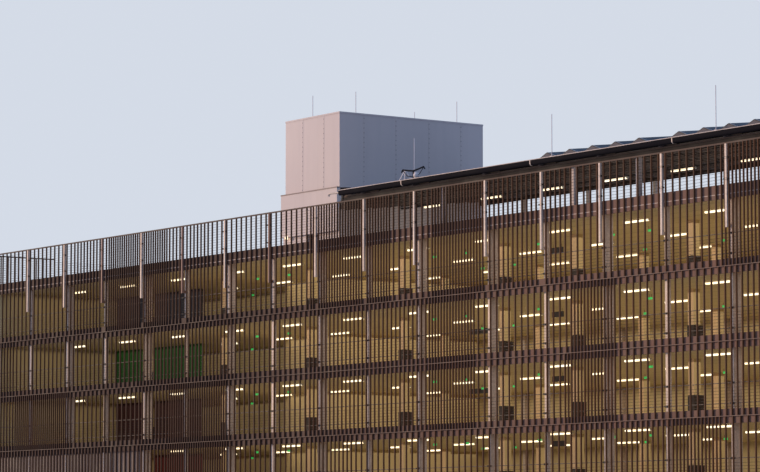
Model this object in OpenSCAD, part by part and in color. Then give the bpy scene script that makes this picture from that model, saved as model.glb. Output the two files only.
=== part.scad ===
// Multi storey car park behind screens of upright slats, a scale model at 1:2.
// X runs along the street front, Y from the street front (-Y) to the back, Z up.
// The origin is under the middle of the building, on the ground.

/* [Building] */
// Spacing of the posts along the fronts
bay = 1875; // [1750:5:2000]
// Ordinary bays left of the wide bay
left_bays = 10; // [9:1:11]
// Width of the one wide bay
wide_bay = 2500; // [2300:10:2700]
// Ordinary bays right of the wide bay
right_bays = 6; // [5:1:7]
// Depth between the two fronts
depth = 9000; // [8800:10:9400]
// Height of the lowest floor deck above the ground
first_deck_z = 1790; // [1700:5:1900]
// Height from one floor deck to the next
storey_h = 1400; // [1350:5:1500]
// Height of the top rail above the roof deck
parapet_h = 920; // [880:5:1000]

/* [Floors] */
// Thickness of a floor deck
deck_t = 75; // [60:1:95]
// Thickness of the ground slab
ground_t = 100; // [60:5:140]
// Height of the edge band in front of each deck
band_h = 270; // [230:2:320]
// Thickness of the edge band
band_t = 30; // [20:1:40]
// Height of the concrete plinth wall under the screens
plinth_h = 390; // [300:5:450]
// Height of the pale trim strip in the roof deck's band
trim_h = 14; // [8:1:20]
// Depth of the trim strip's middle below the roof deck
trim_down = 47; // [30:1:70]
// Open joint between pieces that meet at a corner
joint = 0.3; // [0.2:0.1:0.8]

/* [Screens] */
// Width of a slat, seen from the front
slat_w = 20; // [14:1:26]
// Depth of a slat
slat_d = 35; // [25:1:45]
// Slats to a bay in an open panel
open_count = 9; // [8:1:10]
// Slats to a bay in a middling panel
middle_count = 12; // [11:1:13]
// Slats to a bay in a close panel
close_count = 18; // [16:1:20]
// Height of the flat rail between two rows of slats
seam_h = 12; // [8:1:18]
// Height of the rail along the top of the screens
top_rail_h = 30; // [20:1:40]
// Distance from the end posts' centres out to the end screens' faces
end_out = 210; // [200:5:260]

/* [Posts] */
// Width of a structural column in the fronts
column_w = 80; // [60:1:90]
// Depth of a column that stands on a main frame
frame_column_d = 200; // [160:5:240]
// Distance from a screen's face to the columns' faces
column_in = 100; // [90:1:130]
// Width of a galvanised post in the top row
post_w = 50; // [40:1:60]
// Height of the posts' feet above the floor deck under the roof deck
post_foot_up = 720; // [680:5:780]
// Height of the bracket that holds a post's foot
shoe_h = 60; // [40:2:80]
// Width of that bracket
shoe_w = 30; // [20:1:40]
// Bays of the two lowest storeys closed by a wall behind the front screen, from the left
closed_bays = 4; // [3:1:5]
// Diameter of the guard rails
guard_d = 16; // [12:1:24]
// Height of the lower guard rail above its floor
guard_low = 240; // [200:5:300]
// Height of the upper guard rail above its floor
guard_high = 620; // [560:5:680]

/* [Inside] */
// Width of an inner pier
pier_w = 175; // [150:5:220]
// Distance from the screens' face to the middle of the inner piers
pier_in = 2550; // [2500:10:2600]
// How far the piers stand left of the frame posts
pier_left = 175; // [100:5:200]
// Height of the louvred casing round a front pier's foot
casing_h = 600; // [500:10:700]
// Depth of the casing's sides, from the pier's street side
casing_d = 245; // [200:5:280]
// Thickness of the casing
casing_t = 14; // [10:1:20]
// Louvre grooves in the casing's right side
grooves = 6; // [4:1:8]
// Margin round the grooves
groove_in = 30; // [20:2:40]
// Thickness of the inner walls
wall_t = 100; // [80:5:120]
// Distance from the screens' face to the inner wall left of the tower
inner_wall_in = 5850; // [5750:10:5950]
// Height of the low end walls on the roof deck
low_wall_h = 450; // [350:5:550]
// Distance from the screens' face to the coloured walls
coloured_in = 3650; // [3500:10:3800]
// Width of the left coloured wall
coloured_left_w = 1300; // [1200:5:1350]
// Gap between the two coloured walls
coloured_gap = 655; // [550:5:750]
// Width of the right coloured wall
coloured_right_w = 2190; // [2000:10:2300]
// Length of a light fitting
light_l = 750; // [650:10:850]
// Width of a light fitting
light_w = 60; // [40:2:80]
// Height of a light fitting
light_h = 40; // [30:2:50]
// Spacing of the lights along the building
light_pitch = 2500; // [2480:5:2505]
// Distance from the screens' face to the first row of lights
light_in_1 = 1600; // [1500:10:1700]
// Distance from the screens' face to the second row of lights
light_in_2 = 4150; // [4050:10:4250]
// Distance from the screens' face to the third row of lights
light_in_3 = 6400; // [6380:5:6420]
// Distance from the left end post to the middle of the first row's first light
light_x_1 = 1700; // [1600:10:1800]
// The same distance in the second row
light_x_2 = 2450; // [2350:10:2500]
// The same distance in the third row, which starts right of the tower
light_x_3 = 10600; // [10580:2:10610]

/* [Tower] */
// Distance from the left end post to the tower
tower_x = 7060; // [6950:5:7150]
// Width of the tower
tower_w = 2390; // [2300:10:2500]
// Distance from the screens' face to the tower's front
tower_in = 4440; // [4410:5:4500]
// Height of the tower's top above the roof deck
tower_h = 3975; // [3800:5:4200]
// Thickness of the tower's walls
tower_t = 100; // [80:5:120]
// Height of the ledge above the roof deck
ledge_h = 2120; // [2000:10:2200]
// Width of the ledge on the tower's left side
ledge_w = 95; // [60:5:140]
// Width of the ledge over the tower's front
front_ledge_w = 75; // [50:5:100]
// Thickness of the tower's roof plate
tower_roof_t = 60; // [40:5:80]
// Width of a tower doorway
door_w = 500; // [450:10:550]
// Height of a tower doorway
door_h = 1050; // [1000:10:1100]

/* [Roof] */
// Distance from the left end post to the roof's front left corner
roof_x = 16110; // [16000:5:16250]
// Thickness of the roof sheet
roof_t = 50; // [40:1:60]
// Height of the roof's upper face above the top rail, at the sheet's lower edge
roof_up = 230; // [220:5:250]
// Slope of the roof, in degrees
roof_slope = 6.2; // [5.8:0.1:6.6]
// Overhang of the roof past both fronts
roof_over = 150; // [120:5:180]
// Depth of a rafter
rafter_h = 90; // [70:2:110]
// Width of a rafter
rafter_w = 50; // [40:2:60]
// Distance from the roof's slanting edge to the rafters' ends
rafter_in = 100; // [60:5:140]
// Outer radius of the gutter's round bottom
gutter_r = 50; // [44:1:56]
// Height of the gutter
gutter_h = 110; // [104:1:114]
// Depth of the gutter's rim below the sheet's lower edge
gutter_down = 15; // [8:1:20]
// Wall thickness of the gutter
gutter_t = 6; // [4:1:10]
// Width of the front eave beam
eave_beam_w = 160; // [156:2:180]
// Width of the back eave beam
back_beam_w = 60; // [40:2:80]
// Depth of the back eave beam, under the sheet
back_beam_h = 145; // [120:5:180]
// Distance from the back screens' face to the back eave beam
back_beam_in = 200; // [180:5:240]
// Width of the roof's columns
roof_column_w = 90; // [80:1:90]
// Spacing of the roof's back columns
roof_column_pitch = 2500; // [2400:10:2600]
// Width of a solar panel tent
tent_w = 640; // [580:10:680]
// Height of a solar panel tent
tent_h = 140; // [110:5:160]
// Spacing of the tents in a group
tent_pitch = 725; // [700:5:760]
// Tents in a group
tents = 5; // [4:1:5]
// Spacing of the groups of tents
group_pitch = 4100; // [4050:10:4200]
// Distance from the sheet's lower and upper edges to the tents' ends, up the slope
tent_in = 400; // [360:10:500]
// Thickness of a solar panel
panel_t = 20; // [14:1:30]
// Thickness of a tent's gable plate
gable_t = 8; // [4:1:12]
// Distance from the left end post to the first tent's ridge
tent_x = 22895; // [22800:5:23000]
// Distance from the front screens' face to the tray that carries the roof's lights
tray_in = 6300; // [6100:10:6500]
// Width of the tray
tray_w = 60; // [40:2:80]
// Depth of the tray
tray_h = 24; // [16:2:40]
// Distance from the left end post to the middle of the first light under the roof
roof_light_x = 10825; // [10700:5:10950]
// Spacing of the lights under the roof
roof_light_pitch = 2330; // [2250:10:2400]
// Distance from the left end post to the first column under the front eave beam
eave_column_x = 19675; // [19600:5:19750]
// Steps from that column to the next ones, first the long step
eave_long_step = 4400; // [4350:5:4450]
// The short step, which follows the long one
eave_short_step = 2000; // [1950:5:2050]
// Width and depth of a lightning rod's foot on the roof
rod_foot_w = 60; // [40:2:80]
// Height of that foot over the slope
rod_foot_h = 40; // [24:2:60]
// Diameter of a lightning rod
rod_d = 16; // [12:1:24]
// Height of a lightning rod on the roof
rod_h = 850; // [750:10:950]
// Distance from the sheet's lower edge to the roof's rods
rod_in = 280; // [240:5:320]
// Distances from the left end post to the roof's rods
roof_rod_x = [18440, 23195, 28212]; // [18300:1:28400]
// Height of a lightning rod on the tower
tower_rod_h = 540; // [450:10:600]
// Places of the tower's rods across its width, as parts of it
tower_rod_across = [0.453, 0.96, 0.96, 0.04]; // [0.02:0.001:0.98]
// Their places from front to back, as parts of the tower's depth
tower_rod_back = [0.02, 0.125, 0.83, 0.892]; // [0.02:0.001:0.98]

/* [Hidden] */
eps = 1;
brown = [0.36, 0.27, 0.23];
galvanised = [0.74, 0.72, 0.70];
beige = [0.72, 0.66, 0.50];

length = (left_bays + right_bays) * bay + wide_bay;
last_post = left_bays + right_bays + 1;
// Height of each floor level, the ground slab first and the roof deck last
deck_count = 5;
levels = [ground_t, for (k = [0 : deck_count - 1]) first_deck_z + k * storey_h];
roof_deck_z = levels[deck_count];
rail_z = roof_deck_z + parapet_h;
// The building's inside runs between the bands
inner_y = depth / 2 - slat_d - band_t;
inner_x = length / 2 + end_out - slat_d - band_t;

// Distance of post i from the left end post
function post_at(i) = i <= left_bays ? i * bay : (i - 1) * bay + wide_bay;
// X of a place given from the left end post
function from_left(x) = x - length / 2;
// Y of a place given from the front screens' face
function from_front(y) = y - depth / 2;
posts = [for (i = [0 : last_post]) from_left(post_at(i))];
// Every second post from the second one stands on a main frame, both sides of the wide bay
frames = [for (i = [2 : last_post]) if ((i <= left_bays && i % 2 == 0) ||
    (i > left_bays && (i - left_bays) % 2 == 1)) posts[i]];

open_p = bay / open_count;
middle_p = bay / middle_count;
close_p = bay / close_count;
// Panels of each row of the street front from the left: slat spacing and number of slats.
// The last panel has no number: it fills what is left.
panels_1 = [[open_p, 21], [close_p, 30], [middle_p, 48], [open_p, 30], [close_p, 28],
    [middle_p, 30], [open_p]];
panels_2 = [[middle_p, 40], [open_p, 6], [middle_p, 9], [close_p, 26], [open_p, 16],
    [middle_p, 11], [open_p, 36], [middle_p, 20], [close_p, 14], [open_p]];
panels_3 = [[middle_p, 9], [close_p, 27], [open_p, 16], [middle_p, 9], [close_p, 25],
    [open_p, 16], [middle_p, 29], [close_p, 16], [open_p, 14], [close_p, 16], [open_p, 15],
    [middle_p]];
panels_4 = [[middle_p, 9], [open_p, 29], [middle_p, 29], [open_p, 14], [middle_p, 29],
    [close_p, 16], [open_p, 15], [close_p, 14], [open_p, 15], [middle_p]];
panels_top = [[open_p, 21], [middle_p, 11], [close_p, 27], [middle_p, 12], [open_p, 20],
    [close_p, 30], [open_p, 7], [close_p, 19], [middle_p, 17], [open_p, 22], [close_p, 22],
    [open_p]];
plain_panels = [[open_p]];

// A box by its two opposite corners
module span(low, high) {
    translate(low) cube(high - low);
}

// Start of panel k in a row
function panel_start(panels, k) = k == 0 ? 0
    : panel_start(panels, k - 1) + panels[k - 1][0] * panels[k - 1][1];
// Places of a row's slats. The last panel's spacing is fitted, so that the row ends with it.
function slat_places(panels, row_length) = [
    for (k = [0 : len(panels) - 1])
        let (start = panel_start(panels, k), rest = row_length - start,
            is_last = k == len(panels) - 1,
            count = is_last ? round(rest / panels[k][0]) : panels[k][1],
            pitch = is_last ? rest / count : panels[k][0])
            for (i = [0 : count - 1]) start + (i + 0.5) * pitch];
// Slats that would stand where a post stands are left out
function clear_of_posts(x) = min([for (p = posts) abs(x - p)]) > (slat_w + post_w) / 2 + joint;

// Bottom and top of slat row k, between the seam rails
row_low = [plinth_h, for (k = [1 : 4]) levels[k] + seam_h / 2];
row_high = [for (k = [1 : 4]) levels[k] - seam_h / 2, rail_z - top_rail_h];

// The cars drive in through the wide bay at the back of the ground storey
entry_low = posts[left_bays];
entry_high = posts[left_bays + 1];

module slat_row(panels, k, side, has_posts = false, has_entry = false) {
    start = -length / 2 - end_out;
    y_low = side < 0 ? -depth / 2 : depth / 2 - slat_d;
    for (place = slat_places(panels, length + 2 * end_out)) {
        x = start + place;
        if ((!has_posts || clear_of_posts(x)) && (!has_entry || x < entry_low || x > entry_high))
            span([x - slat_w / 2, y_low, row_low[k]],
                [x + slat_w / 2, y_low + slat_d, row_high[k]]);
    }
}

module front_slats_1() { color(brown) slat_row(panels_1, 0, -1); }
module front_slats_2() { color(brown) slat_row(panels_2, 1, -1); }
module front_slats_3() { color(brown) slat_row(panels_3, 2, -1); }
module front_slats_4() { color(brown) slat_row(panels_4, 3, -1); }
module front_slats_top() { color(brown) slat_row(panels_top, 4, -1, true); }
module back_slats_top() { color(brown) slat_row(plain_panels, 4, 1, true); }

module back_slats() {
    color(brown) {
        slat_row(plain_panels, 0, 1, has_entry = true);
        for (k = [1 : 3]) slat_row(plain_panels, k, 1);
    }
}

// The top row returns one bay round each corner
function near_corner(place, row_length) = min(place, row_length - place) < bay;

module end_slats(side) {
    row_length = depth - 2 * slat_d;
    x_low = side < 0 ? -length / 2 - end_out : length / 2 + end_out - slat_d;
    for (k = [0 : 4], place = slat_places(plain_panels, row_length))
        if (k < 4 || near_corner(place, row_length)) {
            y = from_front(slat_d + place);
            span([x_low, y - slat_w / 2, row_low[k]], [x_low + slat_d, y + slat_w / 2, row_high[k]]);
        }
}

module left_slats() { color(brown) end_slats(-1); }
module right_slats() { color(brown) end_slats(1); }

// Bars along both fronts, from z_low to z_high, set in by inset and t thick
module front_bars(inset, t, z_low, z_high) {
    x_out = length / 2 + end_out - inset;
    y_out = depth / 2 - inset;
    for (side = [-1, 1]) {
        span([-x_out, side * y_out - (side > 0 ? t : 0), z_low],
            [x_out, side * y_out + (side > 0 ? 0 : t), z_high]);
    }
}

// Bars along both ends, which meet the fronts' bars with an open joint
module end_bars(inset, t, z_low, z_high) {
    x_out = length / 2 + end_out - inset;
    y_in = depth / 2 - inset - t - joint;
    for (side = [-1, 1])
        span([side * x_out - (side > 0 ? t : 0), -y_in, z_low],
            [side * x_out + (side > 0 ? 0 : t), y_in, z_high]);
}

// Bars all round the building
module ring(inset, t, z_low, z_high) {
    front_bars(inset, t, z_low, z_high);
    end_bars(inset, t, z_low, z_high);
}

module seam_rails() {
    color(galvanised)
        for (k = [1 : 4]) ring(0, slat_d, levels[k] - seam_h / 2, levels[k] + seam_h / 2);
}

// The top rail follows the top row of slats, one bay round each corner
module top_rail() {
    x_out = length / 2 + end_out;
    y_out = depth / 2 - slat_d - joint;
    color(brown) {
        front_bars(0, slat_d, rail_z - top_rail_h, rail_z);
        for (x = [-x_out, x_out - slat_d], y = [-y_out, y_out - bay])
            span([x, y, rail_z - top_rail_h], [x + slat_d, y + bay, rail_z]);
    }
}

// The pale trim strip parts the roof deck's band
trim_low_z = roof_deck_z - trim_down - trim_h / 2;
module edge_bands() {
    color(brown) {
        for (k = [1 : 4]) ring(slat_d, band_t, levels[k] - band_h / 2, levels[k] + band_h / 2);
        ring(slat_d, band_t, roof_deck_z - band_h / 2, trim_low_z);
        ring(slat_d, band_t, trim_low_z + trim_h, roof_deck_z + band_h / 2);
    }
}

module roof_deck_trim() {
    color(galvanised) ring(slat_d, band_t, trim_low_z, trim_low_z + trim_h);
}

module floor_plate(z_top, t) {
    span([-inner_x, -inner_y, z_top - t], [inner_x, inner_y, z_top]);
}

module ground_slab() { color("darkgray") floor_plate(ground_t, ground_t); }
module deck_1() { color(beige) floor_plate(levels[1], deck_t); }
module deck_2() { color(beige) floor_plate(levels[2], deck_t); }
module deck_3() { color(beige) floor_plate(levels[3], deck_t); }
module deck_4() { color(beige) floor_plate(levels[4], deck_t); }
module roof_deck() { color("darkgray") floor_plate(roof_deck_z, deck_t); }

// Plinth walls round the ground slab, with a low sill where the cars drive in
module plinth_walls() {
    x_out = length / 2 + end_out;
    y_out = depth / 2;
    t = slat_d + band_t;
    color("silver") {
        span([-x_out, -y_out, 0], [x_out, -y_out + t, plinth_h]);
        span([-x_out, y_out - t, 0], [entry_low - joint, y_out, plinth_h]);
        span([entry_high + joint, y_out - t, 0], [x_out, y_out, plinth_h]);
        span([entry_low, y_out - t, 0], [entry_high, y_out, ground_t]);
        for (side = [-1, 1])
            span([side > 0 ? inner_x : -x_out, joint - inner_y, 0],
                [side > 0 ? x_out : -inner_x, inner_y - joint, plinth_h]);
    }
}

// Columns of one front, standing on each floor under the next deck. Those on a main frame are
// deeper, other than beside the tower.
module column_row(side) {
    for (x = posts, k = [0 : deck_count - 1]) {
        on_frame = len(search(x, frames)) > 0 && !in_tower(x, side * depth / 2, column_w);
        face = side * (depth / 2 - column_in);
        back = face - side * (on_frame ? frame_column_d : column_w);
        span([x - column_w / 2, min(face, back), levels[k]],
            [x + column_w / 2, max(face, back), levels[k + 1] - deck_t]);
    }
}

module front_columns() { color(galvanised) column_row(-1); }
module back_columns() { color(galvanised) column_row(1); }

// Galvanised posts in the top row of slats, from the bracket at their foot to the top rail.
// Their backs are in line with the slats' backs.
module post_row(side) {
    foot_z = levels[4] + post_foot_up;
    back = side * (depth / 2 - slat_d);
    face = back + side * post_w;
    shoe_face = back - side * joint;
    column_face = side * (depth / 2 - column_in);
    for (x = posts) {
        span([x - post_w / 2, min(back, face), foot_z],
            [x + post_w / 2, max(back, face), rail_z - top_rail_h]);
        span([x - shoe_w / 2, min(shoe_face, column_face), foot_z],
            [x + shoe_w / 2, max(shoe_face, column_face), foot_z + shoe_h]);
    }
}

module front_posts() { color(galvanised) post_row(-1); }
module back_posts() { color(galvanised) post_row(1); }

// Two guard rails a storey, against the street side of the front columns
module guard_rails() {
    run = length + column_w;
    color(galvanised)
        for (k = [0 : deck_count - 1], up = [guard_low, guard_high])
            translate([-run / 2, column_in - depth / 2 - guard_d / 2, levels[k] + up])
                rotate([0, 90, 0]) cylinder(d = guard_d, h = run, $fn = 12);
}

// Whether something at x and y, that reaches out by margin, would meet the tower
function in_tower(x, y, margin) = x > from_left(tower_x) - margin
    && x < from_left(tower_x + tower_w) + margin && y > from_front(tower_in) - margin;
// Inner piers between the parking spaces and the aisle
pier_places = [for (x = frames, side = [-1, 1])
    if (!in_tower(x - pier_left, side * (depth / 2 - pier_in), pier_w / 2))
        [x - pier_left, side * (depth / 2 - pier_in)]];

module inner_piers() {
    color(beige)
        for (place = pier_places, k = [0 : deck_count - 1])
            translate([place[0] - pier_w / 2, place[1] - pier_w / 2, levels[k]])
                cube([pier_w, pier_w, levels[k + 1] - deck_t - levels[k]]);
}

// Casings round the feet of the front piers, with louvre grooves in the right side
module louvred_boxes() {
    groove_pitch = (casing_h - 2 * groove_in) / grooves;
    color("dimgray")
        for (place = pier_places, k = [0 : deck_count - 1])
            if (place[1] < 0)
                translate([place[0], place[1] - pier_w / 2, levels[k]])
                    difference() {
                        linear_extrude(casing_h) casing_section();
                        for (b = [0 : grooves - 1])
                            translate([pier_w / 2 + casing_t / 2, groove_in,
                                groove_in + (b + 1 / 4) * groove_pitch])
                                cube([casing_t, casing_d - 2 * groove_in, groove_pitch / 2]);
                    }
}

// Section of a casing, round the front and both sides of a pier
module casing_section() {
    difference() {
        translate([-pier_w / 2 - casing_t, -casing_t])
            square([pier_w + 2 * casing_t, casing_d + casing_t]);
        translate([-pier_w / 2, 0]) square([pier_w, casing_d + eps]);
    }
}

// A wall between the columns of a front, in bay i of storey k
module bay_wall(side, i, k) {
    face = side * (depth / 2 - column_in);
    back = face - side * column_w;
    span([posts[i] + column_w / 2 + joint, min(face, back), levels[k]],
        [posts[i + 1] - column_w / 2 - joint, max(face, back), levels[k + 1] - deck_t]);
}

// Walls just inside the end posts and between the back columns, other than where the cars
// drive in, an inner wall left of the tower, and low walls on the roof deck between the returns
end_wall_x = length / 2 - column_w / 2 - wall_t;
module end_walls() {
    y_out = depth / 2 - column_in - column_w - joint;
    color(beige) {
        for (side = [-1, 1]) {
            x = side > 0 ? end_wall_x : -end_wall_x - wall_t;
            for (k = [0 : deck_count - 1])
                span([x, -y_out, levels[k]], [x + wall_t, y_out, levels[k + 1] - deck_t]);
            span([x, bay - inner_y, roof_deck_z],
                [x + wall_t, inner_y - bay, roof_deck_z + low_wall_h]);
        }
        for (k = [0 : deck_count - 1]) {
            for (i = [0 : last_post - 1]) if (k > 0 || i != left_bays) bay_wall(1, i, k);
            span([-end_wall_x + joint, from_front(inner_wall_in), levels[k]],
                [tower_low_x, from_front(inner_wall_in) + wall_t, levels[k + 1] - deck_t]);
        }
    }
}

// Coloured walls in every storey, and the dark walls that close the first bays of the lowest two
wall_colours = ["dimgray", [0.55, 0.14, 0.10], [0.25, 0.14, 0.14], [0.16, 0.42, 0.20],
    [0.20, 0.20, 0.21]];
module coloured_walls() {
    y = from_front(coloured_in);
    x_left = -end_wall_x;
    x_right = x_left + coloured_left_w + coloured_gap;
    for (k = [0 : deck_count - 1]) color(wall_colours[k]) {
        z_high = levels[k + 1] - deck_t;
        span([x_left, y, levels[k]], [x_left + coloured_left_w, y + wall_t, z_high]);
        span([x_right, y, levels[k]], [x_right + coloured_right_w, y + wall_t, z_high]);
    }
    color("dimgray")
        for (k = [0 : 1], i = [0 : closed_bays - 1]) bay_wall(-1, i, k);
}

// Three rows of light fittings under each deck, each row with its own first light
light_rows = [[light_x_1, light_in_1], [light_x_2, light_in_2], [light_x_3, light_in_3]];
module light_fittings() {
    color("lightyellow")
        for (k = [1 : deck_count], row = light_rows,
            i = [0 : floor((length - row[0] - light_l) / light_pitch)]) {
            x = from_left(row[0] + i * light_pitch);
            translate([x - light_l / 2, from_front(row[1]) - light_w / 2,
                levels[k] - deck_t - light_h])
                cube([light_l, light_w, light_h]);
        }
}

tower_low_x = from_left(tower_x);
tower_high_x = from_left(tower_x + tower_w);
tower_low_y = from_front(tower_in);
tower_high_y = depth / 2 - column_in - column_w;
tower_top = roof_deck_z + tower_h;
ledge_z = roof_deck_z + ledge_h;

tower_levels = [for (k = [0 : deck_count]) [levels[k],
    k < deck_count ? levels[k + 1] - deck_t : tower_top - tower_roof_t]];

// Side walls of the tower, between the decks and above the roof deck
module tower_side_walls() {
    color("gainsboro")
        for (z = tower_levels, x = [tower_low_x, tower_high_x - tower_t])
            span([x, tower_low_y + tower_t, z[0]], [x + tower_t, tower_high_y - tower_t, z[1]]);
}

module tower_back_walls() {
    color("gainsboro")
        for (z = tower_levels)
            span([tower_low_x, tower_high_y - tower_t, z[0]], [tower_high_x, tower_high_y, z[1]]);
}

door_x = (tower_low_x + tower_high_x) / 2;

// Front walls of the tower on both sides of the doorways
module tower_door_walls() {
    color("gainsboro")
        for (z = tower_levels) {
            span([tower_low_x, tower_low_y, z[0]],
                [door_x - door_w / 2, tower_low_y + tower_t, z[1]]);
            span([door_x + door_w / 2, tower_low_y, z[0]],
                [tower_high_x, tower_low_y + tower_t, z[1]]);
        }
}

// Front walls of the tower over the doorways
module tower_lintels() {
    color("gainsboro")
        for (z = tower_levels)
            span([door_x - door_w / 2, tower_low_y, z[0] + door_h],
                [door_x + door_w / 2, tower_low_y + tower_t, z[1]]);
}

// The lower part of the tower is thicker on its left and over its door, up to a ledge
module tower_ledge() {
    color("white") {
        span([tower_low_x - ledge_w, tower_low_y + joint, roof_deck_z],
            [tower_low_x, tower_high_y, ledge_z]);
        span([tower_low_x - ledge_w, tower_low_y - front_ledge_w, roof_deck_z + door_h],
            [tower_high_x, tower_low_y, ledge_z]);
    }
}

module tower_roof() {
    color("white")
        span([tower_low_x, tower_low_y, tower_top - tower_roof_t],
            [tower_high_x, tower_high_y, tower_top]);
}

// The gutter hangs in front of the roof sheet, which slopes up from the gutter's back to the
// back overhang. The sheet's tilted edge stays within that overhang.
sheet_y = 2 * gutter_r - depth / 2 - roof_over;
roof_z = rail_z + roof_up;
roof_run = depth / 2 + roof_over - sheet_y - roof_t * sin(roof_slope);
roof_low_x = from_left(roof_x);
roof_high_x = length / 2 + end_out;
// Height of the roof's upper face, and of its rafters' upper and under faces, at a place y
function roof_top(y) = roof_z + (y - sheet_y) * tan(roof_slope);
function rafter_top(y) = roof_top(y) - roof_t / cos(roof_slope);
function rafter_foot(y) = rafter_top(y) - rafter_h;

// Moves its children onto the slope, with their own Y measured up the slope from its edge
module on_slope() {
    translate([0, sheet_y, roof_z]) rotate([roof_slope, 0, 0]) children();
}

// The sheet's left edge runs from the gutter to the tower's corner
tower_gap = 2;
module roof_sheet() {
    slant = cos(roof_slope);
    color([0.22, 0.22, 0.24])
        on_slope() translate([0, 0, -roof_t])
            linear_extrude(roof_t)
                polygon([[roof_low_x, 0], [roof_high_x, 0], [roof_high_x, roof_run / slant],
                    [tower_high_x + tower_gap, roof_run / slant],
                    [tower_high_x + tower_gap, (tower_low_y - sheet_y) / slant]]);
}

// Gutter with a round bottom, fixed to the rafters' ends
module roof_gutter() {
    color([0.12, 0.12, 0.14])
        translate([roof_low_x, sheet_y - gutter_r, roof_z - gutter_down]) rotate([90, 0, 90])
            linear_extrude(roof_high_x - roof_low_x)
                difference() {
                    trough(gutter_r, gutter_h - gutter_r);
                    trough(gutter_r - gutter_t, gutter_h - gutter_r + eps);
                }
}

// Section of a trough, open at the top, with straight sides over a half round bottom
module trough(r, side_h) {
    translate([0, gutter_r - gutter_h]) {
        difference() {
            circle(r = r, $fn = 48);
            translate([-r, 0]) square([2 * r, r]);
        }
        translate([-r, 0]) square([2 * r, side_h]);
    }
}

// A beam along X from z_low up to the slope, drop under the sheet
module beam_under_roof(x_low, x_high, y, w, z_low, drop) {
    translate([x_low, 0, 0]) rotate([90, 0, 90])
        linear_extrude(x_high - x_low)
            polygon([[y, z_low], [y + w, z_low], [y + w, rafter_top(y + w) - drop],
                [y, rafter_top(y) - drop]]);
}

// Beams along both eaves: the front one on the top rail, under the rafters, and the back one
// on the columns, behind the rafters
back_beam_y = depth / 2 - back_beam_in - back_beam_w;
back_beam_z = rafter_top(back_beam_y) - back_beam_h;
module eave_beams() {
    color(brown) {
        beam_under_roof(roof_low_x, roof_high_x, -depth / 2, eave_beam_w, rail_z, rafter_h);
        beam_under_roof(tower_high_x, inner_x, back_beam_y, back_beam_w, back_beam_z, 0);
    }
}

// Y of the roof's front edge at a place x: along the gutter, or along the slanting left edge
function roof_edge_y(x) = x > roof_low_x ? sheet_y
    : sheet_y + (tower_low_y - sheet_y) * (roof_low_x - x) / (roof_low_x - tower_high_x);

// Rafters with plumb ends on the post lines, from the gutter or the slanting edge to the back
// beam
module rafters() {
    high = back_beam_y - joint;
    color([0.30, 0.28, 0.27])
        for (x = posts) if (x > tower_high_x) {
            low = roof_edge_y(x) + (x > roof_low_x ? 0 : rafter_in);
            translate([x - rafter_w / 2, 0, 0]) rotate([90, 0, 90])
                linear_extrude(rafter_w)
                    polygon([[low, rafter_foot(low)], [high, rafter_foot(high)],
                        [high, rafter_top(high)], [low, rafter_top(low)]]);
        }
}

// Columns under both eave beams: evenly spaced at the back, in two steps by turns at the front
eave_column_places = [for (step = [0, eave_long_step, eave_long_step + eave_short_step,
    2 * eave_long_step + eave_short_step]) from_left(eave_column_x + step)];
module roof_columns() {
    last = posts[last_post] - roof_column_pitch / 2;
    half = roof_column_w / 2;
    back_y = back_beam_y + back_beam_w / 2;
    front_y = -inner_y + half;
    count = floor((last - tower_high_x) / roof_column_pitch);
    color(galvanised) {
        for (i = [0 : count]) {
            x = last - i * roof_column_pitch;
            span([x - half, back_y - half, roof_deck_z], [x + half, back_y + half, back_beam_z]);
        }
        for (x = eave_column_places)
            span([x - half, front_y - half, roof_deck_z], [x + half, front_y + half, rail_z]);
    }
}

// Tray under the rafters that carries the roof's lights
module light_tray() {
    y = from_front(tray_in);
    z = rafter_foot(y - tray_w / 2) - tray_h;
    count = floor((length - roof_light_x) / roof_light_pitch);
    color("lightyellow") {
        beam_under_roof(tower_high_x, inner_x, y - tray_w / 2, tray_w, z, rafter_h);
        for (i = [0 : count])
            translate([from_left(roof_light_x) + i * roof_light_pitch - light_l / 2,
                y - light_w / 2, z - light_h])
                cube([light_l, light_w, light_h]);
    }
}

// Tents of solar panels with their ridges up the slope, up to the roof's right edge
tent_places = [for (g = [0 : 2], i = [0 : tents - 1])
    let (x = from_left(tent_x) + g * group_pitch + i * tent_pitch)
        if (x + tent_w / 2 < roof_high_x) x];
tent_length = roof_run - 2 * tent_in;

// Half a tent's section: a sloping panel of thickness panel_t
module tent_section(side) {
    ridge = side * joint / 2;
    foot = side * tent_w / 2;
    polygon([[ridge, tent_h], [foot, panel_t], [foot, 0], [ridge, tent_h - panel_t]]);
}

module solar_panels() {
    color([0.10, 0.12, 0.18])
        for (x = tent_places, side = [-1, 1])
            on_slope() translate([x, tent_in + tent_length, 0]) rotate([90, 0, 0])
                linear_extrude(tent_length) tent_section(side);
}

// Pale gable plates under the panels, which close each tent at both ends
module solar_gables() {
    color("silver")
        for (x = tent_places, y = [tent_in + gable_t, tent_in + tent_length])
            on_slope() translate([x, y, 0]) rotate([90, 0, 0])
                linear_extrude(gable_t)
                    polygon([[-tent_w / 2, 0], [tent_w / 2, 0], [0, tent_h - panel_t]]);
}

// A rod on a foot whose underside follows the slope
module roof_rod(x, y) {
    half = rod_foot_w / 2;
    foot_top = roof_top(y + half) + rod_foot_h;
    translate([x - half, 0, 0]) rotate([90, 0, 90])
        linear_extrude(rod_foot_w)
            polygon([[y - half, roof_top(y - half)], [y + half, roof_top(y + half)],
                [y + half, foot_top], [y - half, foot_top]]);
    translate([x, y, foot_top]) cylinder(d = rod_d, h = rod_h, $fn = 12);
}

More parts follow.
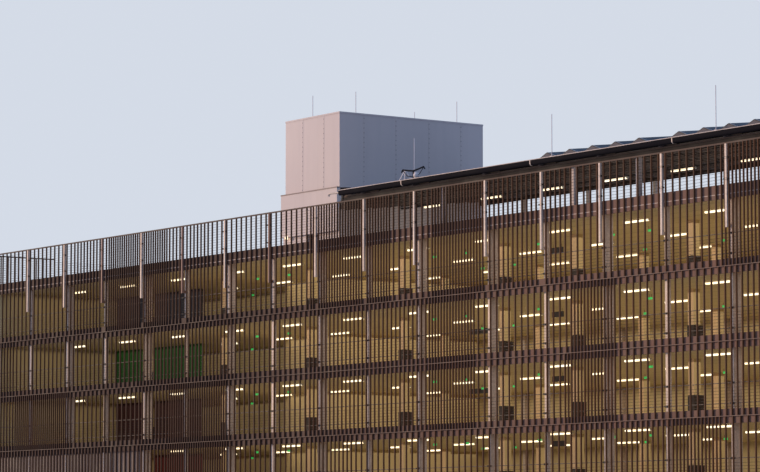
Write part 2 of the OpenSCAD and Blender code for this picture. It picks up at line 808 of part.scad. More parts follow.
// Lightning rods near the roof's front edge and on the tower's top
module lightning_rods() {
    color("gainsboro") {
        for (x = roof_rod_x) roof_rod(from_left(x), sheet_y + rod_in);
        for (i = [0 : len(tower_rod_across) - 1])
            translate([tower_low_x + tower_rod_across[i] * tower_w,
                tower_low_y + tower_rod_back[i] * (tower_high_y - tower_low_y), tower_top])
                cylinder(d = rod_d, h = tower_rod_h, $fn = 12);
    }
}

ground_slab();
plinth_walls();
deck_1();
deck_2();
deck_3();
deck_4();
roof_deck();
edge_bands();
roof_deck_trim();
front_slats_1();
front_slats_2();
front_slats_3();
front_slats_4();
front_slats_top();
back_slats();
back_slats_top();
left_slats();
right_slats();
seam_rails();
top_rail();
front_columns();
back_columns();
front_posts();
back_posts();
guard_rails();
inner_piers();
louvred_boxes();
end_walls();
coloured_walls();
light_fittings();
tower_side_walls();
tower_back_walls();
tower_door_walls();
tower_lintels();
tower_ledge();
tower_roof();
roof_sheet();
roof_gutter();
eave_beams();
rafters();
roof_columns();
light_tray();
solar_panels();
solar_gables();
lightning_rods();
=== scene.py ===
# %% [markdown]
# # A multi storey car park behind screens of upright slats
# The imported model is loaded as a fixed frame. Every solid of it stays where it is. This script
# gives each solid its finish and adds the finer pieces: light fittings, louvres, signs, wires,
# seams, straps and trims. Sizes are in metres, +X runs along the street front, +Z is up.

# %% Load the frame
import bpy
import math
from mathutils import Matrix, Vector


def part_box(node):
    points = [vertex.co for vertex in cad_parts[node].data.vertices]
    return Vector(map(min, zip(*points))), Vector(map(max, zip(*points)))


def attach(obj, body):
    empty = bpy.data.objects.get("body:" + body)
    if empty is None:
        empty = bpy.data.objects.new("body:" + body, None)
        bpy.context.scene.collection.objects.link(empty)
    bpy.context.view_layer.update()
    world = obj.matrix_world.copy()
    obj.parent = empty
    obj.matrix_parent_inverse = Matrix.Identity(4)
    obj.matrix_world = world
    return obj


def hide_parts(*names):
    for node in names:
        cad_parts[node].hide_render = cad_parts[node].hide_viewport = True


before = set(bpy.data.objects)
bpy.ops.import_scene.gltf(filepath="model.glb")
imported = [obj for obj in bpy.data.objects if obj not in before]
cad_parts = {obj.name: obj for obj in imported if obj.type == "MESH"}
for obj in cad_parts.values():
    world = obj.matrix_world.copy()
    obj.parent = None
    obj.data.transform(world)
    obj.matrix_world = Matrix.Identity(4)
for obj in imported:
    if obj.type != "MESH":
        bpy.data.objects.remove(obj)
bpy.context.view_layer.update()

# %% [markdown]
# ## Working as by hand
# An operator acts on everything that is selected, and the loaded solids are selected at first.
# So each step starts by selecting only its own piece. Faces are then picked by their place or by
# the way they point, as one would click them in the viewport. A primitive's place, turn and size
# go into its mesh at once, so every finished piece sits at the origin, as a CAD node does.

# %% Helpers that select
def select_only(*pieces):
    """Selects these objects alone, and makes the last one active."""
    if bpy.context.mode != "OBJECT":
        bpy.ops.object.mode_set(mode="OBJECT")
    bpy.ops.object.select_all(action="DESELECT")
    for piece in pieces:
        piece.select_set(True)
        bpy.context.view_layer.objects.active = piece


def pick(piece, kind, test):
    """Enters edit mode with only the faces or edges selected whose place and direction pass."""
    select_only(piece)
    bpy.ops.object.mode_set(mode="EDIT")
    bpy.ops.mesh.select_mode(type=kind)
    bpy.ops.mesh.select_all(action="DESELECT")
    bpy.ops.object.mode_set(mode="OBJECT")
    mesh = piece.data
    if kind == "FACE":
        for face in mesh.polygons:
            face.select = test(face.center, face.normal)
    else:
        for edge in mesh.edges:
            a, b = (mesh.vertices[i].co for i in edge.vertices)
            edge.select = test((a + b) / 2, (b - a).normalized())
    bpy.ops.object.mode_set(mode="EDIT")


def leave():
    """Goes back to object mode."""
    bpy.ops.object.mode_set(mode="OBJECT")


def settle(piece):
    """Puts the piece's place, turn and size into its mesh."""
    select_only(piece)
    bpy.ops.object.transform_apply(location=True, rotation=True, scale=True)
    return piece


# %% Helpers that start a piece
def start(name, add, **shape):
    """Adds a primitive with the given operator."""
    select_only()
    add(**shape)
    piece = bpy.context.active_object
    piece.name = piece.data.name = name
    return settle(piece)


def start_box(name, low, high):
    """A block between two opposite corners, to be shaped further."""
    low, high = Vector(low), Vector(high)
    return start(name, bpy.ops.mesh.primitive_cube_add, size=1, location=(low + high) / 2,
                 scale=high - low)


def start_rod(name, low, high, radius, sides=8):
    """A round bar between two points."""
    low, high = Vector(low), Vector(high)
    return start(name, bpy.ops.mesh.primitive_cylinder_add, vertices=sides, radius=radius,
                 depth=(high - low).length, location=(low + high) / 2,
                 rotation=(high - low).to_track_quat("Z", "Y").to_euler())


# %% Helpers that shape a piece
def sunk(piece, test, rim, way=(0, 0, 0)):
    """Insets the faces that pass the test, and moves the inner ones along a way."""
    pick(piece, "FACE", test)
    bpy.ops.mesh.inset(thickness=rim)
    bpy.ops.transform.translate(value=way)
    leave()


def pull(way):
    """Extrudes what is selected along a way."""
    bpy.ops.mesh.extrude_region_move(TRANSFORM_OT_translate={"value": way})


def drawn(piece, test, *ways, kind="FACE"):
    """Extrudes the faces or edges that pass the test, once along each way."""
    pick(piece, kind, test)
    for way in ways:
        pull(way)
    leave()


def scaled(piece, test, factors, **centre):
    """Scales the faces that pass the test."""
    pick(piece, "FACE", test)
    bpy.ops.transform.resize(value=factors, **centre)
    leave()


def turned(piece, angle, axis, centre):
    """Turns the whole piece about a point, by the right hand. The operator turns the other way."""
    pick(piece, "FACE", lambda p, n: True)
    bpy.ops.transform.rotate(value=-angle, orient_axis=axis, center_override=centre)
    leave()
    return piece


def modified(piece, kind, **settings):
    """Adds a modifier with its settings, and applies it."""
    select_only(piece)
    bpy.ops.object.modifier_add(type=kind)
    modifier = piece.modifiers[-1]
    for label, value in settings.items():
        setattr(modifier, label, value)
    bpy.ops.object.modifier_apply(modifier=modifier.name)
    return piece


# %% Helpers that join, copy and finish
def joined(name, *pieces):
    """One object made of several."""
    select_only(*pieces)
    if len(pieces) > 1:
        bpy.ops.object.join()
    piece = bpy.context.active_object
    piece.name = piece.data.name = name
    return piece


def copied(name, source, places):
    """Copies of a piece at several places, each with its own mesh, joined as one object."""
    twins = []
    for place in places:
        twin = source.copy()
        twin.data = source.data.copy()
        twin.location = place
        bpy.context.scene.collection.objects.link(twin)
        twins.append(twin)
    bpy.data.objects.remove(source)
    return settle(joined(name, *twins))


def finished(piece, slot, *replaced, material=None):
    """Lets the piece ride on the building, adds the given material, hides the nodes it replaces.
    The slot is not used.
    """
    if material:
        piece.data.materials.append(material)
    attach(piece, "root")
    if replaced:
        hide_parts(*replaced)
    low = [round(min(v.co[i] for v in piece.data.vertices), 3) for i in range(3)]
    high = [round(max(v.co[i] for v in piece.data.vertices), 3) for i in range(3)]
    print(f"{piece.name}: {len(piece.data.polygons)} faces, {low} to {high}")


# %% [markdown]
# ## Where the separate solids of a node are
# A node such as the light fittings holds many equal solids. Their corners tell where each one is,
# so the finer piece goes exactly to the same place. Triangles that share a corner belong together.

# %% Boxes of the separate solids of a node
def solid_boxes(node):
    """Lowest and highest corner of each separate solid of a node, sorted by place."""
    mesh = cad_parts[node].data
    keys = [tuple(round(c * 5000) for c in v.co) for v in mesh.vertices]
    home = {key: key for key in keys}

    def root(key):
        while home[key] != key:
            home[key] = home[home[key]]
            key = home[key]
        return key

    for face in mesh.polygons:
        first = root(keys[face.vertices[0]])
        for i in face.vertices[1:]:
            home[root(keys[i])] = first
    groups = {}
    for key, vertex in zip(keys, mesh.vertices):
        groups.setdefault(root(key), []).append(vertex.co)
    boxes = [(Vector([min(c[i] for c in g) for i in range(3)]),
              Vector([max(c[i] for c in g) for i in range(3)])) for g in groups.values()]
    return sorted(boxes, key=lambda box: tuple(round(v, 4) for v in box[0]))


def middles(boxes, axis, digits=4):
    """The different middles of boxes along an axis."""
    return sorted({round((low[axis] + high[axis]) / 2, digits) for low, high in boxes})


posts = middles(solid_boxes("front_posts"), 0)
decks = ["deck_1", "deck_2", "deck_3", "deck_4", "roof_deck"]
floor_z = [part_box(node)[1][2] for node in ["ground_slab", *decks]]
ceiling_z = [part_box(node)[0][2] for node in decks]
tower_low, tower_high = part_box("tower_roof")
print("posts", len(posts), "floors", [round(z, 3) for z in floor_z])

# %% [markdown]
# ## The camera
# The street view was taken from far off and low down, with a long lens, so the lines along the
# front run up steeply to the right. The camera stands at eye height to the right of the building.

# %% Camera
look_up, look_left = 5.4767, 54.9135
select_only()
bpy.ops.object.camera_add(location=(57.77, -44.21, 0.803),
                          rotation=(math.radians(90 + look_up), 0, math.radians(look_left)))
camera = bpy.context.active_object
camera.data.lens = 152.67
camera.data.sensor_width = 36
camera.data.clip_end = 1000
bpy.context.scene.camera = camera
print("camera at", [round(v, 2) for v in camera.location])

# %% [markdown]
# ## Light
# A warm key light comes from the left and low, as late in the day: the slats then throw wide
# shades on the bands behind them. A cool, even world fills what faces right, so the end faces
# turn bluish grey. Inside each storey one wide lamp shines down, which stands in for the many
# small fittings and keeps the render calm. Weaker ones shine up at the ceilings and the roof.
# The closed end left of the tower is dimmer, as fewer fittings hang there.

# %% Helpers for plain nodes
def feed(tree, socket, value):
    """Links another socket to this one, or sets its plain value."""
    if isinstance(value, bpy.types.NodeSocket):
        tree.links.new(value, socket)
    else:
        socket.default_value = value


def put(tree, kind, **values):
    """Adds a node and feeds its inputs, whose names have _ for a space here."""
    node = tree.nodes.new("ShaderNode" + kind)
    for label, value in values.items():
        feed(tree, node.inputs[label.replace("_", " ")], value)
    return node


def maths(tree, operation, a, b=None):
    """A math node on two values or sockets. Gives its result's socket."""
    node = put(tree, "Math")
    node.operation = operation
    for socket, value in zip(node.inputs, (a, b)):
        if value is not None:
            feed(tree, socket, value)
    return node.outputs["Value"]


# %% World and key light
scene = bpy.context.scene
scene.view_settings.view_transform = "Standard"
world = bpy.data.worlds.new("evening studio")
scene.world = world
world.use_nodes = True
backdrop = world.node_tree
fill = backdrop.nodes["Background"]
fill.inputs["Color"].default_value = (0.42, 0.62, 1.0, 1)
fill.inputs["Strength"].default_value = 0.72
paper = put(backdrop, "Background", Color=(0.66, 0.71, 0.80, 1), Strength=1.0)
path = put(backdrop, "LightPath")
blend = put(backdrop, "MixShader", Fac=maths(backdrop, "MAXIMUM", path.outputs["Is Camera Ray"],
                                             path.outputs["Is Transmission Ray"]))
feed(backdrop, blend.inputs[1], fill.outputs["Background"])
feed(backdrop, blend.inputs[2], paper.outputs["Background"])
feed(backdrop, backdrop.nodes["World Output"].inputs["Surface"], blend.outputs["Shader"])

key_way = Vector((0.82, 0.53, -0.20))
bpy.ops.object.light_add(type="SUN")
key = bpy.context.active_object
key.name = "key light"
key.rotation_euler = key_way.to_track_quat("-Z", "Y").to_euler()
key.data.energy = 3.45
key.data.color = (1.0, 0.75, 0.54)
key.data.angle = math.radians(14)
print("key light", round(math.degrees(math.asin(-key_way.normalized().z)), 1), "degrees up")

# %% Lamps in the storeys and under the roof
def wide_lamp(name, x_low, x_high, z, level, colour, way=0.0):
    """A flat lamp that the camera doesn't see. It shines down, or up when turned by pi."""
    select_only()
    bpy.ops.object.light_add(type="AREA", location=((x_low + x_high) / 2, 0, z),
                             rotation=(way, 0, 0))
    lamp = bpy.context.active_object
    lamp.name = name
    lamp.data.shape = "RECTANGLE"
    lamp.data.size, lamp.data.size_y = x_high - x_low - 0.3, 8.2
    lamp.data.energy = level * lamp.data.size * lamp.data.size_y
    lamp.data.color = colour
    lamp.visible_camera = False


inner_left, inner_right = (corner[0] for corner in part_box("end_walls"))
warm, paler = (1.0, 0.89, 0.74), (1.0, 0.93, 0.82)
storey_share, left_share = [0.70, 0.72, 0.88, 0.96, 1.0], 0.42
over_floor, under_ceiling = 0.25, 0.06
for k, share in enumerate(storey_share):
    for part, x_low, x_high, dim in (("left", inner_left, tower_low[0], left_share),
                                     ("main", tower_low[0], inner_right, 1.0)):
        wide_lamp(f"storey {k} {part} lamp", x_low, x_high, ceiling_z[k] - under_ceiling,
                  2.5 * share * dim, warm)
        wide_lamp(f"storey {k} {part} ceiling lamp", x_low, x_high, floor_z[k] + over_floor,
                  0.36 * share * dim, paler, math.pi)
wide_lamp("roof lamp", tower_high[0], inner_right, floor_z[5] + over_floor, 1.6, paler, math.pi)
print("wide lamps", 4 * len(storey_share) + 1)

# %% [markdown]
# ## Effects that several finishes share
# A node group is built once and placed in each material with its own values. "Uneven tone" makes
# a colour lighter and darker in soft clouds. "Rain streaks" gives a mask of long upright runs.
# "Grain" gives a fine height for a bump, and "Top dust" a mask on faces that point up. All read
# Object coordinates, so they stay on the piece.

# %% Helpers for node groups
def new_group(name, inputs, outputs):
    """A node group with named sockets. Gives it with the nodes of its inputs and outputs."""
    group = bpy.data.node_groups.new(name, "ShaderNodeTree")
    for label, kind, value in inputs:
        socket = group.interface.new_socket(name=label, in_out="INPUT", socket_type=kind)
        socket.default_value = value
    for label, kind in outputs:
        group.interface.new_socket(name=label, in_out="OUTPUT", socket_type=kind)
    return group, group.nodes.new("NodeGroupInput"), group.nodes.new("NodeGroupOutput")


def clouds(tree, scale, detail=3.0, stretch=(1, 1, 1)):
    """Noise on Object coordinates, drawn out along an axis by a small factor there."""
    place = put(tree, "TexCoord").outputs["Object"]
    mapping = put(tree, "Mapping", Vector=place, Scale=stretch)
    return put(tree, "TexNoise", Vector=mapping.outputs["Vector"], Scale=scale,
               Detail=detail).outputs["Fac"]


def spread(tree, value, low, high, to_low=0.0, to_high=1.0):
    """Maps the range low to high onto another range, held at its ends."""
    return put(tree, "MapRange", Value=value, From_Min=low, From_Max=high, To_Min=to_low,
               To_Max=to_high).outputs["Result"]


def along(tree, vector, axis):
    """One of the three numbers of a vector."""
    return put(tree, "SeparateXYZ", Vector=vector).outputs[axis]


def place_on(tree, axis):
    """The piece's own coordinate along one axis."""
    return along(tree, put(tree, "TexCoord").outputs["Object"], axis)


def facing(tree, axis):
    """How far the surface faces along one axis."""
    return along(tree, put(tree, "NewGeometry").outputs["Normal"], axis)


# %% Group: uneven tone
uneven_tone, given, out = new_group(
    "Uneven tone",
    [("Color", "NodeSocketColor", (0.5, 0.5, 0.5, 1)), ("Amount", "NodeSocketFloat", 0.15),
     ("Scale", "NodeSocketFloat", 1.5)],
    [("Color", "NodeSocketColor"), ("Cloud", "NodeSocketFloat")])
cloud = clouds(uneven_tone, given.outputs["Scale"], 4.0)
swing = maths(uneven_tone, "MULTIPLY", spread(uneven_tone, cloud, 0.3, 0.7, -1.0, 1.0),
              given.outputs["Amount"])
shade = put(uneven_tone, "HueSaturation", Color=given.outputs["Color"],
            Value=maths(uneven_tone, "ADD", swing, 1.0))
feed(uneven_tone, out.inputs["Color"], shade.outputs["Color"])
feed(uneven_tone, out.inputs["Cloud"], cloud)

# %% Group: rain streaks
rain_streaks, given, out = new_group(
    "Rain streaks",
    [("Amount", "NodeSocketFloat", 0.5), ("Scale", "NodeSocketFloat", 6.0)],
    [("Mask", "NodeSocketFloat")])
runs = clouds(rain_streaks, given.outputs["Scale"], 3.0, (1, 1, 0.07))
feed(rain_streaks, out.inputs["Mask"], maths(
    rain_streaks, "MULTIPLY", spread(rain_streaks, runs, 0.48, 0.72), given.outputs["Amount"]))

# %% Group: grain
grain, given, out = new_group("Grain", [("Scale", "NodeSocketFloat", 60.0)],
                              [("Height", "NodeSocketFloat")])
feed(grain, out.inputs["Height"], clouds(grain, given.outputs["Scale"], 5.0))

# %% Group: dust on faces that point up
top_dust, given, out = new_group("Top dust", [("Amount", "NodeSocketFloat", 0.5)],
                                 [("Mask", "NodeSocketFloat")])
upward = spread(top_dust, facing(top_dust, "Z"), 0.4, 0.95)
lying = spread(top_dust, clouds(top_dust, 5.0), 0.35, 0.65, 0.4, 1.0)
feed(top_dust, out.inputs["Mask"], maths(
    top_dust, "MULTIPLY", maths(top_dust, "MULTIPLY", upward, lying), given.outputs["Amount"]))
print("groups", [g.name for g in bpy.data.node_groups])


# %% [markdown]
# ## A painted or coated surface
# Most finishes here are paint on metal or concrete. Each starts from one colour, or from a
# function that lays several out over the surface. It gets uneven tone, darker rain streaks, dust
# on top, a roughness that changes with the same clouds and a fine bump. What is the same all over
# is set on the shader's own sockets.

# %% Material helpers
def srgb(red, green, blue):
    """A colour as read from a screen, 0 to 255, as the shader wants it."""
    def line(v):
        v /= 255
        return v / 12.92 if v <= 0.04045 else ((v + 0.055) / 1.055) ** 2.4
    return (line(red), line(green), line(blue), 1)


def use(tree, group, **values):
    """Places a node group in a tree, with its values."""
    node = put(tree, "Group")
    node.node_tree = group
    for label, value in values.items():
        feed(tree, node.inputs[label], value)
    return node


def mixed(tree, mask, a, b):
    """Colour a where the mask is 0 and colour b where it is 1."""
    node = put(tree, "Mix")
    node.data_type = "RGBA"
    feed(tree, node.inputs["Factor"], mask)
    feed(tree, node.inputs[6], a)
    feed(tree, node.inputs[7], b)
    return node.outputs[2]


def new_material(name):
    """A material, with its node tree and its shader."""
    material = bpy.data.materials.new(name)
    material.use_nodes = True
    return material, material.node_tree, material.node_tree.nodes["Principled BSDF"]


def coated(name, colour, roughness=0.5, metallic=0.0, tone=0.14, tone_scale=1.6, streaks=0.35,
           dirt=(60, 50, 44), dust=0.25, dust_colour=(150, 140, 130), grain_scale=90.0,
           grain_depth=0.002, gloss=0.2):
    """A coat. Its colour is a plain one, or a function of the tree that gives a colour's socket."""
    material, tree, shader = new_material(name)
    base = colour(tree) if callable(colour) else colour
    toned = use(tree, uneven_tone, Color=base, Amount=tone, Scale=tone_scale)
    wet = use(tree, rain_streaks, Amount=streaks, Scale=5.0)
    dusty = use(tree, top_dust, Amount=dust)
    streaked = mixed(tree, wet.outputs["Mask"], toned.outputs["Color"], srgb(*dirt))
    feed(tree, shader.inputs["Base Color"],
         mixed(tree, dusty.outputs["Mask"], streaked, srgb(*dust_colour)))
    feed(tree, shader.inputs["Roughness"],
         spread(tree, toned.outputs["Cloud"], 0.3, 0.7, roughness - 0.08, roughness + 0.1))
    shader.inputs["Metallic"].default_value = metallic
    shader.inputs["Specular IOR Level"].default_value = gloss
    bump = put(tree, "Bump", Distance=grain_depth, Strength=0.6,
               Height=use(tree, grain, Scale=grain_scale).outputs["Height"])
    feed(tree, shader.inputs["Normal"], bump.outputs["Normal"])
    return material


def joint_lines(tree, axis, pitch, width, offset=0.0):
    """A mask of thin lines across an axis, one at each pitch."""
    shifted = maths(tree, "ADD", place_on(tree, axis), 1000 * pitch + offset)
    steps = maths(tree, "FRACT", maths(tree, "DIVIDE", shifted, pitch))
    return maths(tree, "LESS_THAN", steps, width / pitch)


def dress(material, *names):
    """Gives nodes of the frame their material."""
    for name in names:
        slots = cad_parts[name].data.materials
        slots.clear()
        slots.append(material)
    print(f"{material.name}: on {', '.join(names)}")


# %% [markdown]
# ## Brown paint
# Slats, bands and rails are coated in browns of one family, from the dark beams at the eave to
# the pale edge of the roof deck. Towards the closed left end the browns turn darker, which is
# painted shade, so the place along the front blends two tones. Dust settles on the flat tops of
# the bands. The front beam at the eave shows a paler edge over a dark strip of painted shade
# along the rail, both picked by height.

# %% Brown finishes
def shaded_leftwards(base_tone, dull):
    """Painted shade: the base tone 8 m right of the middle turns to the darker dull tone 5 m left
    of it.
    """
    def paint(tree):
        return mixed(tree, spread(tree, place_on(tree, "X"), 8.0, -5.0), base_tone, dull)
    return paint


def eave_tones(tree):
    """A paler edge low on the front beam, over a dark strip of painted shade along the rail."""
    height = place_on(tree, "Z")
    rail_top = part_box("top_rail")[1][2]
    edge = maths(tree, "LESS_THAN", height, rail_top + 0.130)
    # The dark strip along the rail is painted shade of the gap under the beam.
    painted_gap_shade = maths(tree, "LESS_THAN", height, rail_top + 0.070)
    coat = mixed(tree, edge, srgb(52, 39, 32), srgb(86, 66, 55))
    return mixed(tree, painted_gap_shade, coat, srgb(24, 16, 13))


dress(coated("brown slat paint", shaded_leftwards(srgb(90, 58, 39), srgb(74, 48, 35)), 0.75, tone=0.18,
             tone_scale=0.9, streaks=0.22, dirt=(54, 34, 24), dust=0.2),
      "front_slats_1", "front_slats_2", "front_slats_3", "front_slats_4", "front_slats_top",
      "back_slats", "back_slats_top", "left_slats", "right_slats")
dress(coated("brown band paint", shaded_leftwards(srgb(112, 81, 68), srgb(68, 47, 39)), 0.75,
             dirt=(56, 36, 30), dust=0.35), "edge_bands")
dress(coated("brown rail paint", shaded_leftwards(srgb(86, 67, 58), srgb(74, 56, 48)), 0.7, tone=0.12,
             streaks=0.2, dirt=(86, 64, 56)), "top_rail")
dress(coated("seam rail paint", shaded_leftwards(srgb(116, 90, 78), srgb(84, 64, 55)), 0.65, tone=0.12,
             streaks=0.3, dirt=(76, 58, 50)), "seam_rails")
dress(coated("pale trim paint", srgb(184, 158, 142), 0.6, tone=0.12, streaks=0.3,
             dirt=(124, 100, 90)), "roof_deck_trim")
dress(coated("eave beam paint", eave_tones, 0.8, tone=0.16, dirt=(34, 25, 21), dust=0.1),
      "eave_beams")


# %% [markdown]
# ## Galvanised steel
# Hot dip zinc cools in patches of crystals, each a slightly different grey, here with a warm
# tinge. A Voronoi texture gives each patch its own tone. Three posts are brown instead, the
# guard rails are a darker zinc whose darkness is painted shade, and the columns under the roof
# are primed. Clips, brackets and wires share one dark paint.

# %% Galvanised finish
def zinc_patches(tree):
    """Two greys, blended by a number that each crystal has."""
    place = put(tree, "TexCoord").outputs["Object"]
    crystals = put(tree, "TexVoronoi", Vector=place, Scale=38.0)
    grey = put(tree, "SeparateColor", Color=crystals.outputs["Color"])
    return mixed(tree, grey.outputs["Red"], srgb(206, 187, 174), srgb(182, 165, 153))


def post_tones(tree):
    """Zinc, but brown and darker on the three posts that stand between frames left of the middle.
    """
    x, coat = place_on(tree, "X"), 0.0
    for place in (posts[3], posts[5], posts[7]):
        apart = maths(tree, "ABSOLUTE", maths(tree, "SUBTRACT", x, place))
        coat = maths(tree, "MAXIMUM", coat, maths(tree, "LESS_THAN", apart, 0.1))
    return mixed(tree, coat, zinc_patches(tree), srgb(122, 94, 84))


def zinc(name, paint):
    """The coat that all hot dip zinc here has in common."""
    return coated(name, paint, 0.65, metallic=0.2, tone=0.12, tone_scale=2.2, streaks=0.3,
                  dirt=(140, 124, 114), dust=0.1, grain_scale=140.0, grain_depth=0.001)


galvanised = zinc("galvanised steel", zinc_patches)
dress(galvanised, "front_columns", "back_columns")
dress(zinc("galvanised post", post_tones), "front_posts", "back_posts")
# The guard rails' darker zinc is painted shade.
dress(coated("zinc rail with painted shade", srgb(112, 99, 90), 0.7, tone=0.15, streaks=0.2, dirt=(80, 70, 62),
             dust=0.2), "guard_rails")
dress(coated("column primer", srgb(204, 182, 168), 0.7, tone=0.12, streaks=0.3,
             dirt=(104, 88, 76), dust=0.1), "roof_columns")
dark_paint = coated("dark rail paint", srgb(50, 43, 42), 0.6, tone=0.15, streaks=0.2,
                    dirt=(34, 29, 27), dust=0.15, dust_colour=(96, 88, 82))
soffit_brown = coated("soffit brown", srgb(104, 88, 80), 0.75, streaks=0.2)
dress(soffit_brown, "rafters")


# %% [markdown]
# ## Concrete
# The decks are cast in strips: from below one sees the joints between them as thin lines. The
# floors are coated grey, the ceilings are painted beige. Both are one solid, so the way a face
# points decides which of the two it gets. The piers are told the same way: their faces towards
# the street carry painted light, a warmer, paler beige than the walls.

# %% Concrete finishes
beige = srgb(198, 176, 130)
strip_width, beam_gap, beam_shift, board_length = 0.625, 2.5, 0.62, 1.25


def deck_paint(floor_colour):
    """A coat for the floor, and beige with joint lines for the ceiling below."""
    def paint(tree):
        lines = maths(tree, "MAXIMUM", joint_lines(tree, "Y", strip_width, 0.016),
                      joint_lines(tree, "X", beam_gap, 0.010, beam_shift))
        ceiling = mixed(tree, lines, beige, srgb(112, 98, 70))
        return mixed(tree, spread(tree, facing(tree, "Z"), -0.3, -0.7), floor_colour, ceiling)
    return paint


def pier_painted_light(tree):
    """Beige, with painted light on the faces towards the street: a warmer, paler beige."""
    return mixed(tree, spread(tree, facing(tree, "Y"), -0.3, -0.7), beige, srgb(218, 184, 142))


def shuttered(tree):
    """Cast concrete with the joints of its boards."""
    boards = maths(tree, "MAXIMUM", joint_lines(tree, "X", board_length, 0.008),
                   joint_lines(tree, "Y", board_length, 0.008))
    return mixed(tree, boards, srgb(150, 144, 136), srgb(96, 90, 84))


dress(coated("coated deck", deck_paint(srgb(138, 126, 100)), 0.7, tone=0.10, tone_scale=0.6,
             streaks=0.0, dust=0.15, dust_colour=(120, 110, 92), grain_scale=70.0), *decks[:4])
dress(coated("open roof deck", deck_paint(srgb(132, 128, 122)), 0.75, tone_scale=0.5,
             streaks=0.0, dust=0.2), "roof_deck")
dress(coated("beige wall paint", beige, 0.7, tone=0.07, tone_scale=0.7, streaks=0.16,
             dirt=(150, 134, 100), dust=0.1), "end_walls")
dress(coated("pier paint", pier_painted_light, 0.7, tone=0.08, tone_scale=1.5, streaks=0.16,
             dirt=(150, 134, 100), dust=0.1), "inner_piers")
dress(coated("cast concrete", shuttered, 0.8, tone=0.16, tone_scale=1.2, streaks=0.4,
             dirt=(92, 86, 80), grain_scale=50.0, grain_depth=0.004),
      "ground_slab", "plinth_walls")


# %% [markdown]
# ## Walls painted by storey
# The two short walls at the left are painted in another colour on each storey. The height on
# the wall picks the colour: each step adds 1 to a count, and a ramp of plain steps reads it. The
# walls that close the front's lowest bays belong to the same node and get a plain dark coat.

# %% Storey colours
front_bays_end = -4.0


def storey_paint(tree):
    """A plain colour for each storey, and a dark one for the walls at the front."""
    height, count = place_on(tree, "Z"), 0.0
    for z in floor_z[1:5]:
        count = maths(tree, "ADD", count, maths(tree, "GREATER_THAN", height, z - 0.03))
    ramp = put(tree, "ValToRGB", Fac=maths(tree, "DIVIDE", count, 5.0))
    ramp.color_ramp.interpolation = "CONSTANT"
    colours = [srgb(92, 84, 78), srgb(118, 36, 30), srgb(70, 36, 37), srgb(46, 108, 46),
               srgb(58, 57, 70)]
    steps = ramp.color_ramp.elements
    steps[0].position, steps[0].color = 0.0, colours[0]
    steps[1].position, steps[1].color = 0.78, colours[4]
    for k in (1, 2, 3):
        steps.new(k / 5 - 0.05).color = colours[k]
    at_front = maths(tree, "LESS_THAN", place_on(tree, "Y"), front_bays_end)
    return mixed(tree, at_front, ramp.outputs["Color"], srgb(92, 74, 70))


dress(coated("storey wall paint", storey_paint, 0.6, tone=0.10, streaks=0.1, dust=0.0),
      "coloured_walls")

# %% [markdown]
# ## Tower cladding
# Pale coated panels, each with a hair of difference in tone from its neighbour, which is what
# makes real cladding read as panels even where the joints are too thin to see.

# %% Cladding finish
panel_width = 0.98


def panel_tones(tree):
    """Panels above the roof deck, and the beige wall paint of the storeys below it."""
    across = maths(tree, "ADD", place_on(tree, "X"), place_on(tree, "Y"))
    noise = put(tree, "TexWhiteNoise")
    noise.noise_dimensions = "1D"
    feed(tree, noise.inputs["W"],
         maths(tree, "FLOOR", maths(tree, "DIVIDE", across, panel_width)))
    panels = mixed(tree, noise.outputs["Value"], srgb(209, 191, 185), srgb(203, 185, 179))
    above = maths(tree, "GREATER_THAN", place_on(tree, "Z"), floor_z[5])
    return mixed(tree, above, beige, panels)


cladding = coated("pale cladding", panel_tones, 0.7, tone=0.035, tone_scale=0.5, streaks=0.10,
                  dirt=(170, 160, 158), dust=0.15, grain_scale=30.0, grain_depth=0.0015)
dress(cladding, "tower_side_walls", "tower_back_walls", "tower_door_walls", "tower_lintels",
      "tower_ledge", "tower_roof")

# %% [markdown]
# ## Roof metal
# The sheet is dark and dusty, the gutter nearly black and too dull to shine in the low light.
# Gable plates are grey sheet, the rods are paler. Solar cells are dark blue with thin pale lines
# between them, under glass that shines a little.

# %% Roof finishes
roof_metal = coated("dark roof sheet", srgb(62, 60, 62), 0.6, tone=0.15, tone_scale=0.8,
                    streaks=0.15, dirt=(40, 38, 38), dust=0.35, dust_colour=(104, 100, 98))
gutter_paint = coated("dark gutter", srgb(22, 19, 23), 0.85, tone=0.15, streaks=0.25,
                      dirt=(14, 13, 15), dust=0.05, dust_colour=(60, 56, 54), gloss=0.05)
bare_metal = coated("bare aluminium", srgb(168, 168, 174), 0.6, metallic=0.25, tone=0.08,
                    streaks=0.15, dirt=(120, 120, 124), grain_scale=160.0, grain_depth=0.0008)
rod_metal = coated("pale rod metal", srgb(228, 212, 208), 0.6, tone=0.06, streaks=0.1,
                   dirt=(170, 158, 154), dust=0.0, grain_scale=160.0, grain_depth=0.0008)


cell_pitch, cell_line = 0.0785, 0.0022


def cells(tree):
    """Dark blue cells with thin pale lines between them."""
    lines = maths(tree, "MAXIMUM", joint_lines(tree, "X", cell_pitch, cell_line, 0.01),
                  joint_lines(tree, "Y", cell_pitch, cell_line))
    return mixed(tree, lines, srgb(19, 22, 38), srgb(54, 60, 76))


dress(roof_metal, "roof_sheet")
dress(gutter_paint, "roof_gutter")
dress(rod_metal, "lightning_rods")
dress(coated("gable sheet", srgb(104, 99, 104), 0.7, tone=0.12, streaks=0.2, dirt=(74, 70, 74),
             dust=0.1, gloss=0.1), "solar_gables")
dress(coated("solar cells", cells, 0.4, tone=0.2, tone_scale=3.0, gloss=0.14, streaks=0.0,
             dust=0.05, grain_depth=0.0), "solar_panels")

# %% [markdown]
# ## Light fittings
# Each fitting is a long opal diffuser under a slim housing with end caps. One is modelled from a
# block: two cuts mark off the end caps, one cut the housing, and the long lower edges are rounded.
# It glows, so it needs no texture, but soft patches of the diffuser are a little dimmer.

